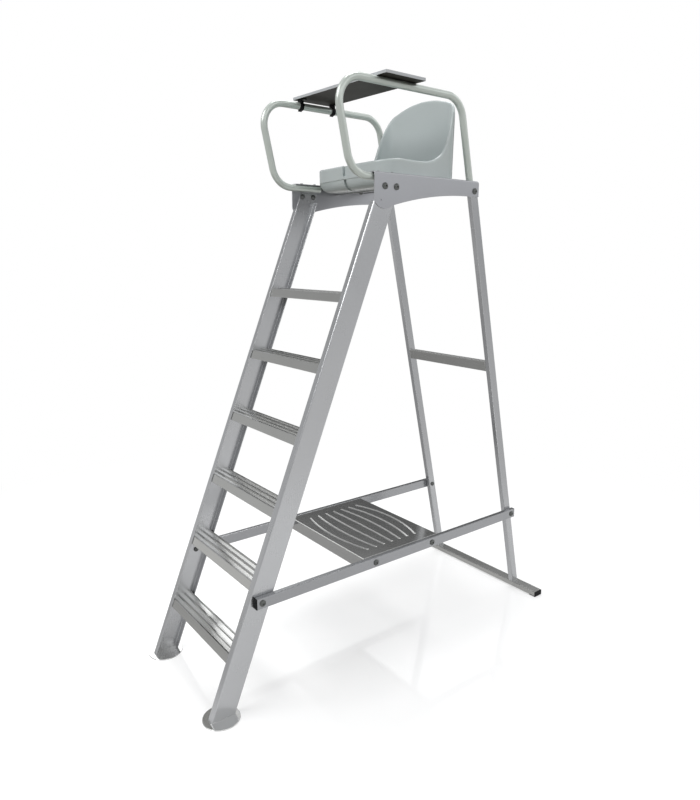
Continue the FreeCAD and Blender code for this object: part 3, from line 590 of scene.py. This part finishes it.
def wall_rings():
    """The inner wall, the rolled rim and the outer wall down to the ledge."""
    half = seat_wall / 2
    top = at_height(outer_plan, rim_heights)
    lean = back_flare * (rim_heights - seat_ledge) / (rim_level + rim_top - seat_ledge)
    side = np.column_stack([outward, np.zeros(len(outward))])
    top[:, :2] += outward * (lean - half)[:, None]
    along = np.roll(top, -1, axis=0) - np.roll(top, 1, axis=0)
    up = np.cross(side, along)
    up /= np.linalg.norm(up, axis=1)[:, None]
    up *= np.sign(up[:, 2])[:, None]
    core = top - up * half
    inner_plan = outer_plan - outward * seat_wall
    inner_foot = at_height(inner_plan, pan_height(inner_plan, seat_wall) + pan_fillet)
    rings = between(inner_foot, core - side * half, (0.1, 0.35, 0.65, 0.9))
    for k in range(arc_rings):
        angle = math.pi * (1 - k / (arc_rings - 1))
        rings.append(core + side * half * math.cos(angle) + up * half * math.sin(angle))
    outer_foot = at_height(outer_plan, seat_ledge)
    return rings + between(rings[-1], outer_foot, (0.1, 0.35, 0.6, 0.85, 0.96, 1.0))


def underside_rings():
    """The belly, with a short step under the ledge, and the flat underside of the pan."""
    rings = []
    for down, draw in belly_rings:
        share = down / belly_rings[-1][0]
        corner = front_corner - 2 * belly_side + 0.0015 * draw
        plan = seat_ring(belly_front + draw / 1000, belly_side, corner)
        fall = pan_rise * share * (plan[:, 1] - pan_deep)
        rings.append(at_height(plan, seat_ledge + (pan_low - seat_ledge) * share + fall))
        if down == 0:
            rings.append(rings[-1] - np.array([0, 0, ledge_step]))
    for share in (0.85, 0.6, 0.3, 0.08):
        smaller = shrunk(plan, share)
        rings.append(at_height(smaller, pan_height(smaller)))
    return rings


seat_rings = pan_rings() + wall_rings() + underside_rings()
print("rings:", len(seat_rings))

# %% [markdown]
# Two helpers turn these into meshes: one joins neighbouring rings into a closed skin, and the
# other makes a straight cutter from its side view.


# %% Meshes from rings and outlines
def loft_mesh(name, rings):
    """Closed mesh through rings of equal length, with a middle point at each end."""
    count = len(rings[0])
    points = [tuple(p) for ring in rings for p in ring]
    points += [tuple(rings[0].mean(axis=0)), tuple(rings[-1].mean(axis=0))]
    faces = []
    for i in range(len(rings) - 1):
        for k in range(count):
            n = (k + 1) % count
            faces.append((i * count + k, (i + 1) * count + k, (i + 1) * count + n, i * count + n))
    first, last = len(points) - 2, len(points) - 1
    end = (len(rings) - 1) * count
    for k in range(count):
        n = (k + 1) % count
        faces.append((first, k, n))
        faces.append((last, end + n, end + k))
    mesh = bpy.data.meshes.new(name)
    mesh.from_pydata([(x, y - chair_middle, z) for x, y, z in points], [], faces)
    return placed(name, mesh)


def band_cutter(name, outline_yz, half_width):
    """Straight cutter across the seat whose side view is the given outline."""
    made = bmesh.new()
    loops = [[made.verts.new((x, y - chair_middle, z)) for y, z in outline_yz]
             for x in (-half_width, half_width)]
    made.faces.new(loops[0])
    made.faces.new(reversed(loops[1]))
    for k in range(len(outline_yz)):
        n = (k + 1) % len(outline_yz)
        made.faces.new((loops[0][n], loops[0][k], loops[1][k], loops[1][n]))
    if made.calc_volume(signed=True) < 0:
        bmesh.ops.reverse_faces(made, faces=made.faces)
    mesh = bpy.data.meshes.new(name)
    made.to_mesh(mesh)
    made.free()
    return placed(name, mesh)


print("mesh helpers ready")

# %% [markdown]
# Two cuts open the front: a drain slot that follows the curve of the belly, and a groove down
# the lip that narrows toward its foot. Both are cut after smoothing, so their edges stay crisp.

# %% Seat moulding
slot_half, slot_deep, slot_out = 0.008, 0.009, 0.008
groove_half, groove_foot_half = 0.018, 0.011
groove_ahead, groove_face = 0.76, seat_front + 0.0125
groove_foot, groove_top, groove_turn = rim_level - 0.045, rim_level + 0.02, 0.004
crease_degrees = 50


def slot_outline():
    """Side view of the slot: a band along the belly's front, from under the ledge to the pan."""
    belly = [ring[front_middle] for ring in seat_rings[-9:-3]]
    last = len(belly) - 1
    ways = [belly[min(i + 1, last)] - belly[max(i - 1, 0)] for i in range(len(belly))]
    normals = [np.array([w[2], -w[1]]) / np.hypot(w[1], w[2]) for w in ways]
    deep = [(p[1] - slot_deep * n[0], p[2] - slot_deep * n[1]) for p, n in zip(belly, normals)]
    out = [(p[1] + slot_out * n[0], p[2] + slot_out * n[1]) for p, n in zip(belly, normals)]
    return deep + out[::-1]


def groove_cutter():
    outline = [(groove_ahead, groove_foot), (groove_face - groove_turn, groove_foot),
               (groove_face, groove_foot + groove_turn), (groove_face, groove_top),
               (groove_ahead, groove_top)]
    groove = band_cutter("groove_cutter", outline, groove_half)
    for vert in groove.data.vertices:
        if vert.co.z < rim_level:
            vert.co.x *= groove_foot_half / groove_half
    return groove


def make_seat():
    seat = loft_mesh("seat_moulding", seat_rings)
    seat.modifiers.new("smooth", "SUBSURF").levels = 1
    cutters = (band_cutter("slot_cutter", slot_outline(), slot_half), groove_cutter())
    for cutter in cutters:
        cut = seat.modifiers.new(cutter.name, "BOOLEAN")
        cut.operation = "DIFFERENCE"
        cut.solver = "EXACT"
        cut.object = cutter
    shaped = seat.evaluated_get(bpy.context.evaluated_depsgraph_get())
    mesh = bpy.data.meshes.new_from_object(shaped)
    seat.modifiers.clear()
    seat.data = mesh
    for cutter in cutters:
        bpy.data.objects.remove(cutter)
    seat.data.shade_smooth()
    seat.data.set_sharp_from_angle(angle=math.radians(crease_degrees))
    return seat


seat = make_seat()
seat.data.materials.append(seat_finish)
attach(seat, "frame")
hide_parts("seat_shell")
print("seat:", len(seat.data.vertices), "points")

# %% [markdown]
# The treads are welded into the stiles, and the rear frame is welded up from its tubes. A weld
# bead is a row of small overlapping puddles, so each bead is a round bar whose radius ripples
# along its length and fades out at both ends. The beads ride on the frame.

# %% Weld beads
bead_sides, bead_step, ripple_period = 8, 0.0012, 2.6


def weld_metal():
    finish = Finish("weld_metal", Metallic=1.0)
    flat = finish.place()
    cloud = finish.noise(flat, 160.0)
    grain = finish.noise(flat, 1500.0, 2.0)
    colour = finish.mix(cloud, rgb(0.36, 0.36, 0.35), rgb(0.52, 0.52, 0.51))
    return finish.feed(Base_Color=colour, Roughness=0.32 + cloud * 0.16, Normal=finish.bump(grain, 0.15))


def bead_radius(radius, i, count, number):
    """Radius at step i of one bead: rippled, and thinner toward both ends."""
    way = i / count
    taper = min(1.0, 5 * way + 0.4, 5 * (1 - way) + 0.4)
    ripple = 0.90 + 0.10 * math.cos(2 * math.pi * i / ripple_period + number)
    return radius * taper * (ripple + 0.04 * math.sin(0.9 * i + number))


def weld_beads(name, runs, radius):
    """One mesh of rippled beads, each from a start point to an end point."""
    points, faces = [], []
    for number, (start, end) in enumerate(runs):
        start, end = Vector(start), Vector(end)
        along = (end - start).normalized()
        side = along.orthogonal().normalized()
        up = along.cross(side)
        count = max(9, round((end - start).length / bead_step))
        base = len(points)
        for i in range(count + 1):
            size = bead_radius(radius, i, count, number)
            for k in range(bead_sides):
                angle = 2 * math.pi * k / bead_sides
                out = (side * math.cos(angle) + up * math.sin(angle)) * size
                points.append(start.lerp(end, i / count) + out)
        for i in range(count):
            for k in range(bead_sides):
                n = (k + 1) % bead_sides
                row = base + i * bead_sides
                faces.append((row + k, row + n, row + bead_sides + n, row + bead_sides + k))
        faces.append(tuple(base + k for k in reversed(range(bead_sides))))
        faces.append(tuple(base + count * bead_sides + k for k in range(bead_sides)))
    mesh = bpy.data.meshes.new(name)
    mesh.from_pydata(points, [], faces)
    mesh.shade_smooth()
    mesh.materials.append(weld_finish)
    piece = placed(name, mesh)
    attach(piece, "frame")
    print(name, len(runs), "beads")


weld_finish = weld_metal()
print("weld finish:", weld_finish.name)

# %% [markdown]
# Each tread has one bead at either end, in the corner behind the stile's lip, and it leans with
# the stile. The crossbar and the feet of the legs are welded on all four sides.

# %% Weld runs
stile_corner, bead_lift = 0.2405, 0.0008
tread_runs = []
for number in range(1, 7):
    low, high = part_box(f"tread_{number}")
    tall = high[2] - low[2]
    for end in (-stile_corner, stile_corner):
        tread_runs.append([(end, high[1] + bead_lift - tall * down * math.tan(stile_lean),
                            high[2] - tall * down) for down in (0.9, 0.1)])
weld_beads("tread_welds", tread_runs, 0.0019)

bar_top = Vector((0, 0.5476, 1.145))
bar_depth, bar_height = 0.020, 0.046
bar_end = 0.9985
low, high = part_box("rear_crossbar")
across = Vector((0, math.cos(leg_rake), -math.sin(leg_rake))) * bar_depth
down = Vector((0, -math.sin(leg_rake), -math.cos(leg_rake))) * bar_height
crossbar_runs = []
for end in (low[0] * bar_end, high[0] * bar_end):
    corner = bar_top + Vector((end, 0, 0))
    crossbar_runs += [(corner + down * 0.06, corner + down * 0.94),
                      (corner + across + down * 0.06, corner + across + down * 0.94),
                      (corner + across * 0.1, corner + across * 0.9),
                      (corner + across * 0.1 + down, corner + across * 0.9 + down)]
weld_beads("crossbar_welds", crossbar_runs, 0.0017)

leg_on_floor = 0.0389
end_gap, side_gap = 0.003, 0.004
foot_runs = []
for name in ("rear_leg_left", "rear_leg_right"):
    low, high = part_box(name)
    front, rear, foot = high[1] - leg_on_floor, high[1], low[2]
    foot_runs += [((low[0] + end_gap, y, foot), (high[0] - end_gap, y, foot)) for y in (front, rear)]
    foot_runs += [((x, front + side_gap, foot), (x, rear - side_gap, foot)) for x in (low[0], high[0])]
weld_beads("foot_bar_welds", foot_runs, 0.0016)

# %% [markdown]
# The studio is a glossy white floor that fades into a white room, so there is no horizon. The
# camera sees it white, but for the shadow, the faint mirror image of the chair, and a painted
# shadow: a soft grey patch on the +X side of the chair. Metal takes its look from what it mirrors,
# so mirror rays see a greyer floor, and greyer still toward mirror_dim_way. The light that the
# floor throws back up is darker and a little warmer than the floor looks.

# %% Floor
floor_reach = 14.0
floor_lift, painted_shadow_depth = 0.49, 0.11
painted_shadow_middle = (0.65, 0.1, 0)
mirror_tone, mirror_fall = 0.78, 0.38
mirror_dim_way = (-1.0, -0.2, 0)
seen_share = 0.62
bounce = rgb(0.17, 0.16, 0.13)
white = rgb(1, 1, 1)


def floor_white():
    finish = Finish("floor_white", Roughness=0.07, Specular_IOR_Level=0.5)
    path = "ShaderNodeLightPath"
    direct = finish.node(path, out="Is Camera Ray")
    mirrored = finish.node(path, out="Is Glossy Ray") + finish.node(path, out="Is Transmission Ray")
    seen = (direct + mirrored).clamped()
    point = finish.place()
    away = finish.measure("LENGTH", point)
    dimmed = finish.eased(finish.measure("DOT_PRODUCT", point, mirror_dim_way), -0.1, 0.6)
    around = finish.eased(away, 2.6, 4.6, 1.0, 0.0)
    mirror = mirror_tone - dimmed * around * mirror_fall
    tone = mirror + direct * (1 - mirror)
    finish.feed(Base_Color=finish.mix(seen, bounce, tone * seen_share))
    far = finish.eased(away, 1.2, 3.0)
    # painted shadow: the floor's glow is lowered in a soft patch beside the chair, standing in for its
    # broad shadow
    painted_shadow = finish.eased(finish.measure("DISTANCE", point, painted_shadow_middle), 0.2, 1.5, painted_shadow_depth, 0.0)
    lit = Wire(finish, finish.shader.outputs[0])
    glow = "ShaderNodeEmission"
    lift = finish.node(glow, {}, {"Color": white, "Strength": tone * (floor_lift - painted_shadow)})
    near = finish.node("ShaderNodeAddShader", {}, {0: lit, 1: lift})
    distant = finish.node(glow, {}, {"Color": white, "Strength": tone})
    pale = finish.node("ShaderNodeMixShader", {}, {0: far, 1: near, 2: distant})
    finish.show(finish.node("ShaderNodeMixShader", {}, {0: seen, 1: lit, 2: pale}), "Material Output")
    return finish.material


floor_mesh = bpy.data.meshes.new("studio_floor")
floor_corners = [(-floor_reach, -floor_reach, 0), (floor_reach, -floor_reach, 0),
                 (floor_reach, floor_reach, 0), (-floor_reach, floor_reach, 0)]
floor_mesh.from_pydata(floor_corners, [], [(0, 1, 2, 3)])
floor_mesh.materials.append(floor_white())
floor = placed("studio_floor", floor_mesh)
floor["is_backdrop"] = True
print("floor ready:", 2 * floor_reach, "m wide")

# %% [markdown]
# Three large panels light the chair at a plain level. The one at the side is hidden from
# mirror rays, so it lights the chair without appearing in the metal.


# %% Lamps
def lamp(name, place, aim, size, power):
    light = bpy.data.lights.new(name, "AREA")
    light.shape = "RECTANGLE"
    light.size, light.size_y = size
    light.energy = power
    holder = placed(name, light)
    holder.location = place
    holder.rotation_euler = (Vector(aim) - Vector(place)).to_track_quat("-Z", "Y").to_euler()
    return holder


lamp("overhead_panel", place=(-2.0, 2.2, 10.0), aim=(0, 0, 1.0), size=(5.0, 5.0), power=380)
side_panel = lamp("side_panel", place=(5.0, 0.5, 4.0), aim=(0, 0, 1.2), size=(3.5, 3.5), power=80)
side_panel.visible_glossy = False
lamp("front_panel", place=(-1.0, -5.0, 6.0), aim=(0, 0, 1.6), size=(4.0, 3.0), power=210)
print("lamps:", len(bpy.data.lights))

# %% [markdown]
# Every ray but the camera's sees a hall. Its walls are pale with a light band above them, and
# three patches replace them: a dim one at the back left, a bright one at the back right, and one
# without the band at the front left. Left is -X here, unlike in the names of the pieces, where
# it is the sitter's. Each wall is a list of tones by height, from 0 at the horizon to 1 overhead.

# %% World
fill_fall = 0.30
pale_walls = ((0.0, 0.70), (0.10, 0.60), (0.27, 0.50), (0.43, 0.42), (0.47, 1.8), (0.57, 1.8),
              (0.61, 0.5), (1.0, 0.60))
dim_walls = ((0.0, 0.60), (0.04, 0.30), (0.10, 0.12), (0.28, 0.13), (0.45, 0.17), (0.55, 0.30),
             (0.62, 0.8), (1.0, 0.7))
bright_walls = ((0.0, 0.62), (0.10, 0.56), (0.20, 1.2), (0.52, 1.3), (0.60, 0.6), (1.0, 0.60))
plain_walls = ((0.0, 0.70), (0.10, 0.62), (0.27, 0.52), (0.45, 0.42), (0.60, 0.45), (1.0, 0.60))
back_left, back_right, front_left = (-0.669, 0.743, 0.0), (0.79, 0.61, 0.0), (-0.87, -0.49, 0.0)
patches = ((back_left, dim_walls, 0.80, 0.90), (back_right, bright_walls, 0.5, 0.8),
           (front_left, plain_walls, 0.62, 0.80))


def wall_tones(hall, rise, stops):
    """A ramp of slightly cool greys by height."""
    wire = hall.node("ShaderNodeValToRGB", {}, {0: rise})
    points = wire.socket.node.color_ramp.elements
    for i, (place, shade) in enumerate(stops):
        point = points[i] if i < 2 else points.new(place)
        point.position = place
        point.color = rgb(shade * 0.99, shade, shade * 1.01)
    return wire


def pale_room():
    world = bpy.data.worlds.new("pale_room")
    bpy.context.scene.world = world
    world.use_nodes = True
    hall = Shading(world.node_tree)
    way = hall.node("ShaderNodeTexCoord", out="Generated")
    rise = hall.part(way, "Z")
    shade = wall_tones(hall, rise, pale_walls)
    for side, walls, start, full in patches:
        share = hall.eased(hall.measure("DOT_PRODUCT", way, side), start, full)
        shade = hall.mix(share, shade, wall_tones(hall, rise, walls))
    path = "ShaderNodeLightPath"
    strength = 1 - hall.node(path, out="Is Diffuse Ray") * fill_fall
    backdrop = "ShaderNodeBackground"
    walls = hall.node(backdrop, {}, {"Color": shade, "Strength": strength})
    plain = hall.node(backdrop, {}, {"Color": white})
    camera_ray = hall.node(path, out="Is Camera Ray")
    hall.show(hall.node("ShaderNodeMixShader", {}, {0: camera_ray, 1: walls, 2: plain}), "World Output")
    return world


print("world:", pale_room().name)
bpy.context.scene.view_settings.view_transform = "Standard"

# %% [markdown]
# The box round everything that renders, but the floor, is printed. The visual model
# must stay in the box of the solids.

# %% Visual box
low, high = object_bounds()
print("visual box:", tuple(round(v, 4) for v in high - low))
